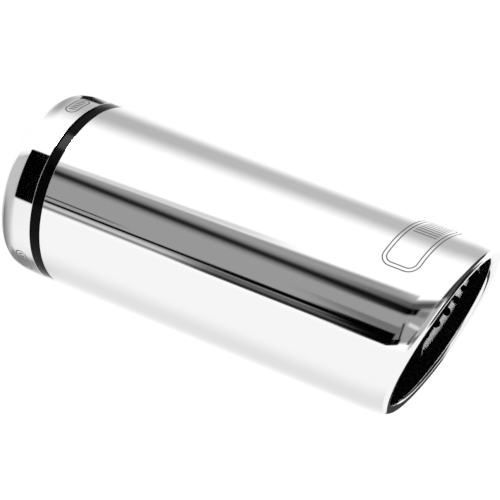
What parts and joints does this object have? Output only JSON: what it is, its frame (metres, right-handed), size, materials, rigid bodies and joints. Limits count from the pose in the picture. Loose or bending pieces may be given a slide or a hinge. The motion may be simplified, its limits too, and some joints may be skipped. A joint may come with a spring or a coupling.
{
  "type": "exhaust tip",
  "caption": "Round slash-cut exhaust tip with a rolled lip, a perforated core, a rear collar with a black groove ring, and a plain socket for the tail pipe.",
  "frame": {"origin": "centre of the rear face, on the tube's axis, where the tip stands on its end", "axes": "+Z along the tube from the rear face to the mouth; the long side of the slanted mouth, which is the top on a car, faces -Y"},
  "size_m": [0.0908, 0.0908, 0.2322],
  "materials": {
    "polished_steel": "mirror polished",
    "plain_steel": "mill finish",
    "black_ring": "smooth, semi-gloss"
  },
  "bodies": {
    "root": {"outer_shell": "polished_steel", "rear_collar": "polished_steel", "groove_ring": "black_ring", "inlet_socket": "plain_steel", "perforated_core": "plain_steel"}
  },
  "joints": []
}
